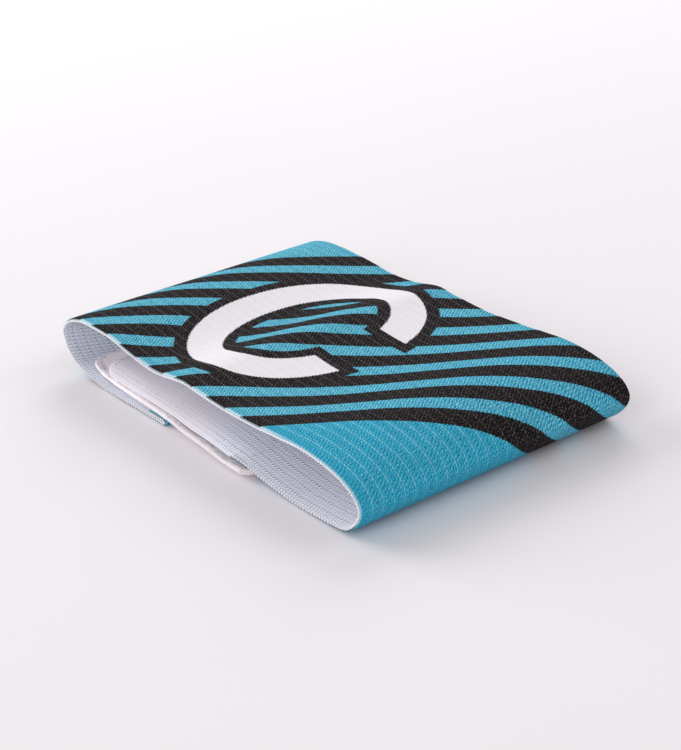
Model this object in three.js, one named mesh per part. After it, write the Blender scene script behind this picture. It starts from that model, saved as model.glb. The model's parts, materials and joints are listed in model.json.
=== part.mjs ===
// Captain armband: an elastic web that closes to a flat loop, lying on its side.
// Millimetres. X runs along the flattened loop, Y across the web, Z up from the surface.
// The origin is the middle of the underside.
import * as THREE from "three";

// Outside sizes of the flattened loop
const LOOP_LENGTH = 133.1;
const LOOP_HEIGHT = 18.25;

// The elastic web
const WEB_WIDTH = 80;
const WALL = 1;

// Air between two layers that lie on each other
const CLEARANCE = 0.3;

// Outer end: the stretch that lies flat on the surface, and the hem turned up over it
const TAIL_LENGTH = 30;
const HEM_LENGTH = 8;

// Inner end: how far it stops short of the left fold, and how far it has slid across the width
const INNER_END_INSET = 0.5;
const INNER_END_DRIFT = 2.8;
const WEB_CORNER_RADIUS = 6;

// Pile tape of the closure, under the inner end. It stands out past the end and past the near edge, less so
// towards the end because it is sewn on a little askew.
const LOOP_PATCH_LENGTH = 81;
const LOOP_PATCH_THICKNESS = 1;
const LOOP_PATCH_PAST_END = 5;
const LOOP_PATCH_PAST_EDGE = 2;
const LOOP_PATCH_SKEW = 1.6;
const LOOP_PATCH_CORNER_RADIUS = 5;

// Hook tape of the closure, on the outer end between the fold and the hem
const HOOK_PATCH_THICKNESS = 1;
const HOOK_PATCH_EDGE_INSET = 2;
const HOOK_PATCH_CORNER_RADIUS = 3;

// Fineness of the facets
const COLUMNS_ACROSS = 8;
const STEPS_PER_ROW = 3;
const CORNER_STEPS = 5;
const HEM_STEPS = 8;
const TAIL_STEPS = 4;
const PATCH_STEPS = 34;
const OUTLINE_CURVE_SEGMENTS = 5;

// Middle line of the wall, a row for each bend of the side view. `along` is a share of the loop's
// length from the left fold. `near`, `middle` and `far` are shares of its height at the near edge, half
// way across and the far edge.
const LEFT_FOLD = [
  { along: 0.203, near: 0, middle: 0, far: 0 },
  { along: 0.158, near: 0, middle: 0, far: 0 },
  { along: 0.112, near: 0.04, middle: 0.04, far: 0.04 },
  { along: 0.073, near: 0.1, middle: 0.1, far: 0.1 },
  { along: 0.043, near: 0.162, middle: 0.162, far: 0.162 },
  { along: 0.027, near: 0.235, middle: 0.235, far: 0.235 },
  { along: 0.011, near: 0.355, middle: 0.35, far: 0.345 },
  { along: 0.002, near: 0.5, middle: 0.49, far: 0.48 },
  { along: 0, near: 0.635, middle: 0.63, far: 0.61 },
  { along: 0.014, near: 0.776, middle: 0.765, far: 0.74 },
  { along: 0.04, near: 0.887, middle: 0.88, far: 0.855 },
];

const UPPER_RUN = [
  { along: 0.09, near: 0.985, middle: 0.968, far: 0.945 },
  { along: 0.147, near: 1, middle: 0.968, far: 0.962 },
  { along: 0.207, near: 0.985, middle: 0.933, far: 0.939 },
  { along: 0.263, near: 0.91, middle: 0.863, far: 0.9 },
  { along: 0.328, near: 0.84, middle: 0.817, far: 0.846 },
  { along: 0.385, near: 0.835, middle: 0.858, far: 0.855 },
  { along: 0.43, near: 0.878, middle: 0.945, far: 0.905 },
  { along: 0.472, near: 0.913, middle: 0.985, far: 0.951 },
  { along: 0.521, near: 0.887, middle: 0.933, far: 0.913 },
  { along: 0.612, near: 0.852, middle: 0.852, far: 0.858 },
  { along: 0.703, near: 0.86, middle: 0.846, far: 0.858 },
  { along: 0.778, near: 0.892, middle: 0.892, far: 0.884 },
  { along: 0.843, near: 0.916, middle: 0.927, far: 0.905 },
  { along: 0.896, near: 0.881, middle: 0.904, far: 0.87 },
];

const RIGHT_FOLD = [
  { along: 0.93, near: 0.837, middle: 0.852, far: 0.817 },
  { along: 0.964, near: 0.75, middle: 0.765, far: 0.73 },
  { along: 0.989, near: 0.625, middle: 0.625, far: 0.608 },
  { along: 1, near: 0.48, middle: 0.48, far: 0.468 },
  { along: 0.994, near: 0.323, middle: 0.323, far: 0.323 },
  { along: 0.974, near: 0.154, middle: 0.154, far: 0.154 },
  { along: 0.952, near: 0.058, middle: 0.058, far: 0.058 },
  { along: 0.915, near: 0.023, middle: 0.023, far: 0.023 },
  { along: 0.876, near: 0.008, middle: 0.008, far: 0.008 },
  { along: 0.842, near: 0, middle: 0, far: 0 },
  { along: 0.804, near: 0, middle: 0, far: 0 },
];

// The inner end climbs from the surface onto the closure. `back` is a share of the way from the last
// row above to the tip of the outer end, and `lift` a share of the closure's height.
const CLIMB = [
  { back: 0.1, lift: 0.13 },
  { back: 0.21, lift: 0.29 },
  { back: 0.33, lift: 0.54 },
  { back: 0.46, lift: 0.77 },
  { back: 0.6, lift: 0.93 },
  { back: 0.75, lift: 0.99 },
  { back: 0.89, lift: 1 },
  { back: 1, lift: 1 },
];

// Heights of the layers where the two ends lie on each other, from the surface up
const floorLine = WALL / 2;
const hemLine = floorLine + WALL + CLEARANCE;
const hookBottom = WALL + CLEARANCE;
const patchBottom = Math.max(hemLine + WALL / 2, hookBottom + HOOK_PATCH_THICKNESS) + CLEARANCE;
const patchLine = patchBottom + LOOP_PATCH_THICKNESS / 2;
const innerLine = patchBottom + LOOP_PATCH_THICKNESS + CLEARANCE + WALL / 2;

// Places along the loop, measured from the outside of the left fold
const alongToX = (along) => WALL / 2 + along * (LOOP_LENGTH - WALL);
const shareToHeight = (share) => WALL / 2 + share * (LOOP_HEIGHT - WALL);
const tailStart = alongToX(LEFT_FOLD[1].along);
const tailTip = tailStart + TAIL_LENGTH;
const restLine = alongToX(RIGHT_FOLD.at(-1).along);

// Height of a row at a place across the web, 0 at the near edge and 1 at the far edge: a parabola
// through its shares
function heightAcross({ near, middle, far }, across) {
  const nearPart = near * (1 - across) * (1 - 2 * across);
  const middlePart = middle * 4 * across * (1 - across);
  const farPart = far * across * (2 * across - 1);
  return nearPart + middlePart + farPart;
}

// Smooth side view through control points, that never dips below the surface
function smoothLine(points) {
  const curve = new THREE.CatmullRomCurve3(points, false, "centripetal");
  return curve.getPoints((points.length - 1) * STEPS_PER_ROW).map(({ x, z }) => {
    return new THREE.Vector2(x, Math.max(z, floorLine));
  });
}

// Side view of the bends, from where the left fold leaves the surface to where the inner end does
function bendLine(across) {
  const rows = [...LEFT_FOLD, ...UPPER_RUN, ...RIGHT_FOLD];
  return smoothLine(rows.map((row) => {
    return new THREE.Vector3(alongToX(row.along), 0, shareToHeight(heightAcross(row, across)));
  }));
}

// Side view of the inner end from the surface up to the closure
function climbLine() {
  return smoothLine(CLIMB.map(({ back, lift }) => {
    const x = THREE.MathUtils.lerp(restLine, tailTip, back);
    return new THREE.Vector3(x, 0, THREE.MathUtils.lerp(floorLine, innerLine, lift));
  }));
}

// Unit normals of a side view, to the left of its course
function normalsOf(line) {
  return line.map((_, index) => {
    const before = line[Math.max(index - 1, 0)];
    const after = line[Math.min(index + 1, line.length - 1)];
    const course = after.clone().sub(before).normalize();
    return new THREE.Vector2(-course.y, course.x);
  });
}

// A side view moved sideways by a distance, to the left of its course
function offsetLine(line, distance) {
  const normals = normalsOf(line);
  return line.map((point, index) => point.clone().addScaledVector(normals[index], distance));
}

// Where the inside of the left fold reaches the pile tape's height, the tape starts to lie on the fold.
// The inner end of the web stops just before that place.
const patchToWeb = WALL / 2 + CLEARANCE + LOOP_PATCH_THICKNESS / 2;
const insideLeftFold = offsetLine(bendLine(0), -patchToWeb).slice(0, (LEFT_FOLD.length - 1) * STEPS_PER_ROW);
const patchOnFold = insideLeftFold.filter((point) => point.y > patchLine);
const innerEnd = patchOnFold[0].x + INNER_END_INSET;

// Turned hem: from its free edge over the tip and down to the surface
function hemLinePoints() {
  const radius = (hemLine - floorLine) / 2;
  const centre = new THREE.Vector2(tailTip - WALL / 2 - radius, floorLine + radius);
  const points = [new THREE.Vector2(tailTip - HEM_LENGTH, hemLine)];
  for (let step = 0; step <= HEM_STEPS; step += 1) {
    const angle = Math.PI * (0.5 - step / HEM_STEPS);
    points.push(new THREE.Vector2(Math.cos(angle), Math.sin(angle)).multiplyScalar(radius).add(centre));
  }
  return points;
}

// Distances from an end at which its rounded corners have their facets, largest first
function cornerDistances(radius) {
  return Array.from({ length: CORNER_STEPS + 1 }, (_, step) => {
    return radius * (1 - Math.sin((Math.PI / 2) * (step / CORNER_STEPS)));
  });
}

// How far a rounded corner draws the edge in, at a distance from the end
function cornerInset(distance, radius) {
  const reach = Math.max(radius - Math.max(distance, 0), 0);
  return radius - Math.sqrt(radius * radius - reach * reach);
}

// Side view of the whole web, from the hem's free edge round the loop to the inner end
function webLine(across) {
  const hem = hemLinePoints();
  const bends = bendLine(across);
  const tail = Array.from({ length: TAIL_STEPS }, (_, step) => {
    const x = THREE.MathUtils.lerp(hem.at(-1).x, bends[0].x, (step + 1) / (TAIL_STEPS + 1));
    return new THREE.Vector2(x, floorLine);
  });
  const end = cornerDistances(WEB_CORNER_RADIUS).map((distance) => {
    return new THREE.Vector2(innerEnd + distance, innerLine);
  });
  return [...hem, ...tail, ...bends, ...climbLine(), ...end];
}

// Sideways slide of the inner end, growing from the rest line to its tip
function driftAt(x) {
  const share = Math.max((restLine - x) / (restLine - innerEnd), 0);
  return INNER_END_DRIFT * share * share;
}

// Closed wall of even thickness. `lineAt` gives the side view at a place across, and `edgesAt` the Y of
// the near and far edges at a station of it.
function wallGeometry(lineAt, edgesAt, thickness) {
  const columns = COLUMNS_ACROSS + 1;
  const outer = [];
  const inner = [];
  let stations = 0;
  for (let column = 0; column < columns; column += 1) {
    const across = column / COLUMNS_ACROSS;
    const line = lineAt(across);
    stations = line.length;
    [outer, inner].forEach((face, side) => {
      const offset = (side === 0 ? 0.5 : -0.5) * thickness;
      offsetLine(line, offset).forEach((point, index) => {
        const [near, far] = edgesAt(line[index], index);
        face.push(new THREE.Vector3(point.x, THREE.MathUtils.lerp(near, far, across), point.y));
      });
    });
  }

  const innerStart = outer.length;
  const outerAt = (column, station) => column * stations + station;
  const innerAt = (column, station) => innerStart + column * stations + station;
  const triangles = [];
  const quad = (a, b, c, d) => triangles.push(a, b, c, a, c, d);
  for (let station = 0; station < stations - 1; station += 1) {
    const next = station + 1;
    for (let column = 0; column < COLUMNS_ACROSS; column += 1) {
      const side = column + 1;
      quad(outerAt(column, station), outerAt(column, next), outerAt(side, next), outerAt(side, station));
      quad(innerAt(column, station), innerAt(side, station), innerAt(side, next), innerAt(column, next));
    }
    quad(outerAt(0, station), innerAt(0, station), innerAt(0, next), outerAt(0, next));
    const far = COLUMNS_ACROSS;
    quad(outerAt(far, station), outerAt(far, next), innerAt(far, next), innerAt(far, station));
  }
  const last = stations - 1;
  for (let column = 0; column < COLUMNS_ACROSS; column += 1) {
    const side = column + 1;
    quad(outerAt(column, 0), outerAt(side, 0), innerAt(side, 0), innerAt(column, 0));
    quad(outerAt(column, last), innerAt(column, last), innerAt(side, last), outerAt(side, last));
  }

  const geometry = new THREE.BufferGeometry().setFromPoints([...outer, ...inner]);
  geometry.setIndex(triangles);
  geometry.computeVertexNormals();
  return geometry;
}

// The elastic web. Its inner end slides across as it climbs, and has rounded corners.
function webGeometry() {
  const climbStart = webLine(0).length - climbLine().length - CORNER_STEPS - 1;
  const edgesAt = (point, index) => {
    if (index < climbStart) {
      return [0, WEB_WIDTH];
    }
    const drift = driftAt(point.x);
    const inset = cornerInset(point.x - innerEnd, WEB_CORNER_RADIUS);
    return [drift + inset, drift + WEB_WIDTH - inset];
  };
  return wallGeometry(webLine, edgesAt, WALL);
}

// Course of the pile tape: below the inner end, straight on past it, then up inside the left fold.
// Distances are measured along it from the inner end, positive past the end.
function patchCourse() {
  const underWeb = offsetLine(climbLine(), patchToWeb);
  const points = [...underWeb, new THREE.Vector2(innerEnd, patchLine), ...patchOnFold];
  const distances = [0];
  for (let index = 1; index < points.length; index += 1) {
    distances.push(distances[index - 1] + points[index].distanceTo(points[index - 1]));
  }
  return (distance) => {
    const wanted = distance + distances[underWeb.length];
    const found = distances.findIndex((value) => value >= wanted);
    const index = THREE.MathUtils.clamp(found < 0 ? points.length : found, 1, points.length - 1);
    const share = (wanted - distances[index - 1]) / (distances[index] - distances[index - 1]);
    return points[index - 1].clone().lerp(points[index], share);
  };
}

// The pile tape, a strip with rounded corners that keeps its gap to the web above and to the fold below
function loopPatchGeometry() {
  const course = patchCourse();
  const corner = cornerDistances(LOOP_PATCH_CORNER_RADIUS);
  const straight = LOOP_PATCH_LENGTH - 2 * LOOP_PATCH_CORNER_RADIUS;
  const fromStart = [
    ...corner.toReversed(),
    ...Array.from({ length: PATCH_STEPS - 1 }, (_, step) => {
      return LOOP_PATCH_CORNER_RADIUS + (straight * (step + 1)) / PATCH_STEPS;
    }),
    ...corner.map((distance) => LOOP_PATCH_LENGTH - distance),
  ];
  const line = fromStart.map((distance) => course(distance - LOOP_PATCH_LENGTH + LOOP_PATCH_PAST_END));
  const edgesAt = (point, index) => {
    const distance = Math.min(fromStart[index], LOOP_PATCH_LENGTH - fromStart[index]);
    const inset = cornerInset(distance, LOOP_PATCH_CORNER_RADIUS);
    const pastEdge = LOOP_PATCH_PAST_EDGE - LOOP_PATCH_SKEW * (fromStart[index] / LOOP_PATCH_LENGTH);
    const near = driftAt(point.x) - pastEdge;
    return [near + inset, near + WEB_WIDTH - inset];
  };
  return wallGeometry(() => line, edgesAt, LOOP_PATCH_THICKNESS);
}

// The hook tape, a flat plate with rounded corners
function hookPatchGeometry() {
  const left = tailStart;
  const right = tailTip - HEM_LENGTH - CLEARANCE;
  const near = HOOK_PATCH_EDGE_INSET;
  const far = WEB_WIDTH - HOOK_PATCH_EDGE_INSET;
  const radius = HOOK_PATCH_CORNER_RADIUS;
  const outline = new THREE.Shape();
  outline.moveTo(left + radius, near);
  outline.absarc(right - radius, near + radius, radius, -Math.PI / 2, 0);
  outline.absarc(right - radius, far - radius, radius, 0, Math.PI / 2);
  outline.absarc(left + radius, far - radius, radius, Math.PI / 2, Math.PI);
  outline.absarc(left + radius, near + radius, radius, Math.PI, Math.PI * 1.5);
  return new THREE.ExtrudeGeometry(outline, {
    depth: HOOK_PATCH_THICKNESS,
    bevelEnabled: false,
    curveSegments: OUTLINE_CURVE_SEGMENTS,
  });
}

const printedElastic = new THREE.MeshStandardMaterial({ color: 0x42a5c4, roughness: 0.85, metalness: 0 });
const pileTape = new THREE.MeshStandardMaterial({ color: 0xe1d7de, roughness: 0.95, metalness: 0 });
const hookTape = new THREE.MeshStandardMaterial({ color: 0xd6d2d8, roughness: 0.7, metalness: 0 });

function namedMesh(name, geometry, material) {
  const mesh = new THREE.Mesh(geometry, material);
  mesh.name = name;
  return mesh;
}

const band = namedMesh("band", webGeometry(), printedElastic);
const loopPatch = namedMesh("loop_patch", loopPatchGeometry(), pileTape);
const hookPatch = namedMesh("hook_patch", hookPatchGeometry(), hookTape);
hookPatch.position.z = hookBottom;

const armband = new THREE.Group();
armband.add(band, loopPatch, hookPatch);

// The middle of the underside goes to the origin
const bounds = new THREE.Box3().setFromObject(armband);
const middle = bounds.getCenter(new THREE.Vector3());
armband.position.set(-middle.x, -middle.y, -bounds.min.z);

export default armband;
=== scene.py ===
"""A captain armband: printed elastic, closed to a flat loop by hook-and-loop tape.

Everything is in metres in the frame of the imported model, with +Z up. Patterns on the cloth are
laid out in millimetres on the flat elastic: `along` runs down it from the plain fold, and
`across` runs over its width from the near edge.
"""

import json
import logging
import math
from dataclasses import dataclass, field
from enum import Enum
from typing import Any, Union

import bpy
import numpy as np
from mathutils import Matrix, Vector

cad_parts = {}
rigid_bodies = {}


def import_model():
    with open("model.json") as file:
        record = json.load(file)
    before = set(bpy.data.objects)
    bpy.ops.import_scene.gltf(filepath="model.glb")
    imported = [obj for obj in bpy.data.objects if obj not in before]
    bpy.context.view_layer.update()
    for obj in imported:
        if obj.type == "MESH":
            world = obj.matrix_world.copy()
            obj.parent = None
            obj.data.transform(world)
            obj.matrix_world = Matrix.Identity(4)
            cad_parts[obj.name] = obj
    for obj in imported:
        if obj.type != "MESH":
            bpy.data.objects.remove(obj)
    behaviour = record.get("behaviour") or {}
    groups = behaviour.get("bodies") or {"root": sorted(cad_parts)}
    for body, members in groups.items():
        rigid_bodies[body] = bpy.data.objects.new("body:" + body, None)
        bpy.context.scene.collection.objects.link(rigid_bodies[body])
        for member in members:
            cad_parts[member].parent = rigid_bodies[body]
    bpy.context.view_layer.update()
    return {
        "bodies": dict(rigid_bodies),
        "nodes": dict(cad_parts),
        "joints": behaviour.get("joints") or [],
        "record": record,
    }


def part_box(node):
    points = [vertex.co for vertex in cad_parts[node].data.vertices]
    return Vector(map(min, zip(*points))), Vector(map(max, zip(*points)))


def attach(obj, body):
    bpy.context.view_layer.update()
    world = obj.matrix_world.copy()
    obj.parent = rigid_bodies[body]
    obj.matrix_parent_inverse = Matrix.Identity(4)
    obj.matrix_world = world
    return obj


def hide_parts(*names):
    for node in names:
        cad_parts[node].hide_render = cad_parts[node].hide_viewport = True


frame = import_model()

BODY = "root"
CLOTH_MAP = "cloth"
MM = 0.001
FULL_TURN = 2 * math.pi
NOISE_ROUGHNESS = 0.55

Number = Union[float, int]
Colour = tuple[float, float, float, float]

log = logging.getLogger("armband")


class Edge(Enum):
    """The lengthwise lines of the web whose side views are drawn."""

    NEAR = "near"
    MIDDLE = "middle"
    FAR = "far"


class Face(Enum):
    """The faces of a cloth wall, numbered as their materials are."""

    OUTER = 0
    INNER = 1
    RIM = 2


def paint(red: int, green: int, blue: int) -> Colour:
    """Turns a screen colour, each part from 0 to 255, into the linear one that shaders take."""
    linear = [((level / 255 + 0.055) / 1.055) ** 2.4 for level in (red, green, blue)]
    return (linear[0], linear[1], linear[2], 1.0)


# Shader expressions


class Value:
    """A shader socket that takes part in Python expressions."""

    def __init__(self, graph: "Graph", socket: bpy.types.NodeSocket) -> None:
        """Keeps the socket and the graph that it belongs to."""
        self.graph = graph
        self.socket = socket

    def __add__(self, other: "Operand") -> "Value":
        """Sum."""
        return self.graph.maths("ADD", self, other)

    def __radd__(self, other: "Operand") -> "Value":
        """Sum, with the number first."""
        return self.graph.maths("ADD", other, self)

    def __sub__(self, other: "Operand") -> "Value":
        """Difference."""
        return self.graph.maths("SUBTRACT", self, other)

    def __rsub__(self, other: "Operand") -> "Value":
        """Difference, with the number first."""
        return self.graph.maths("SUBTRACT", other, self)

    def __mul__(self, other: "Operand") -> "Value":
        """Product."""
        return self.graph.maths("MULTIPLY", self, other)

    def __rmul__(self, other: "Operand") -> "Value":
        """Product, with the number first."""
        return self.graph.maths("MULTIPLY", other, self)

    def __truediv__(self, other: "Operand") -> "Value":
        """Quotient."""
        return self.graph.maths("DIVIDE", self, other)

    def __rtruediv__(self, other: "Operand") -> "Value":
        """Quotient, with the number first."""
        return self.graph.maths("DIVIDE", other, self)

    def __pow__(self, other: "Operand") -> "Value":
        """Power."""
        return self.graph.maths("POWER", self, other)

    def __abs__(self) -> "Value":
        """Distance from zero."""
        return self.graph.maths("ABSOLUTE", self)

    def floor(self) -> "Value":
        """Largest whole number that is no larger."""
        return self.graph.maths("FLOOR", self)

    def fraction(self) -> "Value":
        """What is left over the floor, from 0 to 1."""
        return self.graph.maths("FRACT", self)

    def cosine(self) -> "Value":
        """Cosine of the value in radians."""
        return self.graph.maths("COSINE", self)

    def least(self, other: "Operand") -> "Value":
        """The smaller of two values."""
        return self.graph.maths("MINIMUM", self, other)

    def most(self, other: "Operand") -> "Value":
        """The larger of two values."""
        return self.graph.maths("MAXIMUM", self, other)

    def rise(self, low: Number, high: Number) -> "Value":
        """A smooth step of the value.

        Args:
            low: Where the step leaves 0.
            high: Where the step reaches 1.

        Returns:
            0 below low, 1 above high, and a smooth way between them.
        """
        settings = {"interpolation_type": "SMOOTHSTEP"}
        sockets = {"Value": self, "From Min": low, "From Max": high}
        return self.graph.node("ShaderNodeMapRange", settings, sockets, "Result")

    def fall(self, low: Number, high: Number) -> "Value":
        """The smooth step turned over: 1 below low and 0 above high."""
        return 1 - self.rise(low, high)


Operand = Union[Value, Number]
Shade = Union[Value, Colour]


class Graph:
    """The node graph of one material."""

    def __init__(self, name: str) -> None:
        """Makes an empty material of that name."""
        self.material = bpy.data.materials.new(name)
        self.material.use_nodes = True
        self.tree = self.material.node_tree
        self.tree.nodes.clear()

    def node(self, kind: str, settings: dict[str, Any], sockets: dict[Any, Any], output: Any = 0) -> Value:
        """Adds a node of any type.

        Args:
            kind: Blender's name of the node type.
            settings: Properties of the node, set before its sockets.
            sockets: Values or links of its input sockets, by name or number.
            output: The output socket that the result stands for, by name or number.

        Returns:
            The chosen output.
        """
        made = self.tree.nodes.new(kind)
        for key, value in settings.items():
            setattr(made, key, value)
        for key, value in sockets.items():
            if isinstance(value, Value):
                self.tree.links.new(value.socket, made.inputs[key])
            else:
                made.inputs[key].default_value = value
        return Value(self, made.outputs[output])

    def maths(self, operation: str, *operands: Operand) -> Value:
        """Adds a Math node of that operation and gives its result."""
        return self.node("ShaderNodeMath", {"operation": operation}, dict(enumerate(operands)))

    def mix(self, share: Operand, first: Shade, second: Shade) -> Value:
        """Mixes two colours: a share of 0 gives the first, and 1 the second."""
        return self.node("ShaderNodeMix", {"data_type": "RGBA"}, {0: share, 6: first, 7: second}, 2)

    def tint(self, colour: Shade, level: Operand) -> Value:
        """Gives a colour times a level of brightness."""
        plain = colour if isinstance(colour, Value) else colour[:3]
        return self.node("ShaderNodeVectorMath", {"operation": "SCALE"}, {0: plain, "Scale": level})

    def flat(self) -> Value:
        """Gives the place on the flat cloth as a vector, in millimetres."""
        return self.node("ShaderNodeUVMap", {"uv_map": CLOTH_MAP}, {})

    def object_place(self) -> Value:
        """Gives the place on the object, in metres."""
        return self.node("ShaderNodeTexCoord", {}, {}, "Object")

    def split(self, place: Value) -> tuple[Value, Value]:
        """Gives the first two parts of a place."""
        first = self.node("ShaderNodeSeparateXYZ", {}, {0: place}, "X")
        return first, Value(self, first.socket.node.outputs["Y"])

    def noise(self, size: float, detail: float = 2.0, place: Union[Value, None] = None) -> Value:
        """Adds soft three-dimensional noise.

        Args:
            size: Width of its patches, in the units of the place.
            detail: Number of finer layers.
            place: Where it is read, or None for the place on the object.

        Returns:
            The noise, from 0 to 1.
        """
        vector = place or self.object_place()
        sockets = {"Vector": vector, "Scale": 1 / size, "Detail": detail, "Roughness": NOISE_ROUGHNESS}
        return self.node("ShaderNodeTexNoise", {}, sockets)

    def bump(self, height: Value, depth: float) -> Value:
        """Turns a height from 0 to 1 into a normal; depth is that of 1, in metres."""
        return self.node("ShaderNodeBump", {}, {"Height": height, "Distance": depth, "Strength": 1.0})

    def finish(self, sockets: dict[str, Any]) -> bpy.types.Material:
        """Ends the graph in a Principled shader.

        Args:
            sockets: Values and links of the shader's sockets.

        Returns:
            The material.
        """
        surface = self.node("ShaderNodeBsdfPrincipled", {}, sockets)
        end = self.tree.nodes.new("ShaderNodeOutputMaterial")
        self.tree.links.new(surface.socket, end.inputs["Surface"])
        return self.material


# Finishes


PRINT_BLUR = 0.12


@dataclass(frozen=True)
class StripePrint:
    """Diagonal stripes of the print, in millimetres on the flat cloth."""

    pitch: float = 14.62
    cyan_width: float = 6.4
    cyan_middle: float = -50.06
    rise: float = 1.12
    pull: float = 1.1
    left_pull: float = -2.6
    pull_width: float = 24.0
    first: float = -37.83
    last: float = -178.76

    def cyan(self, along: Value, across: Value) -> Value:
        """Tells where the ground colour shows.

        Args:
            along: Distance along the cloth.
            across: Distance across it.

        Returns:
            1 on the ground colour and 0 on a dark stripe.
        """
        pulled = across.fall(0, self.pull_width) * (self.pull + self.left_pull * along.fall(-100, -72))
        place = along - across / self.rise + pulled
        turn = ((place - self.cyan_middle) / self.pitch + 0.5).fraction()
        off_middle = abs(turn - 0.5) * self.pitch
        stripe = off_middle.fall(self.cyan_width / 2 - PRINT_BLUR, self.cyan_width / 2 + PRINT_BLUR)
        before = place.rise(self.first - PRINT_BLUR, self.first + PRINT_BLUR)
        after = place.fall(self.last - PRINT_BLUR, self.last + PRINT_BLUR)
        return stripe.most(before).most(after)


@dataclass(frozen=True)
class BlockLetter:
    """The block letter of the print, a ring with squarish shoulders that is open on one side."""

    middle_along: float = -78.46
    middle_across: float = 40.8
    half_along: float = 28.1
    half_across: float = 31.3
    open_half_along: float = 27.4
    shoulder: float = 2.15
    stroke_along: float = 10.6
    stroke_across: float = 8.3
    opening_low: float = -9.25
    opening_high: float = 11.6
    outline: float = 3.4

    def _ring(self, along: Value, across: Value, grow: float) -> Value:
        """Tells where the ring lies.

        Args:
            along: Distance from its middle along the cloth.
            across: Distance from its middle across the cloth.
            grow: How much wider it is drawn on each side, in millimetres.

        Returns:
            1 on the ring and 0 off it.
        """
        half = self.half_along + (self.open_half_along - self.half_along) * along.rise(0, self.half_along)
        outside = self._reach(along, across, half + grow, self.half_across + grow)
        hole_along = self.half_along - self.stroke_along - grow
        hole_across = self.half_across - self.stroke_across - grow
        inside = self._reach(along, across, hole_along, hole_across)
        blur_out = PRINT_BLUR / self.half_along
        blur_in = PRINT_BLUR / hole_along
        ring = outside.fall(1 - blur_out, 1 + blur_out) * inside.rise(1 - blur_in, 1 + blur_in)
        above = across.rise(self.opening_low + grow - PRINT_BLUR, self.opening_low + grow + PRINT_BLUR)
        below = across.fall(self.opening_high - grow - PRINT_BLUR, self.opening_high - grow + PRINT_BLUR)
        opening = above * below * along.rise(-PRINT_BLUR, PRINT_BLUR)
        return ring * (1 - opening)

    def _reach(self, along: Value, across: Value, half_along: Operand, half_across: float) -> Value:
        """Gives the distance from the middle, as a share of a squarish oval's."""
        total = (abs(along) / half_along) ** self.shoulder + (abs(across) / half_across) ** self.shoulder
        return total ** (1 / self.shoulder)

    def draw(self, along: Value, across: Value) -> tuple[Value, Value]:
        """Draws the letter and its outline.

        Args:
            along: Distance along the cloth.
            across: Distance across it.

        Returns:
            Masks of the letter and of the letter with its outline.
        """
        beside = along - self.middle_along
        above = across - self.middle_across
        return self._ring(beside, above, 0), self._ring(beside, above, self.outline)


@dataclass(frozen=True)
class Knit:
    """The weave of the elastic, in millimetres on the flat cloth."""

    rib_pitch: float = 2.95
    first_rib: float = 3.2
    ribs: int = 26
    loops_per_rib: int = 4
    course: float = 1.05

    @property
    def wale(self) -> float:
        """Width of one column of loops."""
        return self.rib_pitch / self.loops_per_rib

    def rib_places(self) -> np.ndarray:
        """Gives the distances of the ribs from the near edge."""
        return self.first_rib + self.rib_pitch * np.arange(self.ribs)


KNIT = Knit()


@dataclass(frozen=True)
class Weave:
    """Shader values of the weave at a place on the flat cloth."""

    along: Value
    across: Value
    loop_along: Value
    loop_across: Value
    loop: Value
    dash: Value
    middle_loop: Value
    middle: Value
    off_edge: Value
    grain: Value
    speck: Value
    patch: Value
    calm: Value
    seen: Value
    inside: Value
    edge: Value
    rib: Value
    tooth: Value


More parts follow.
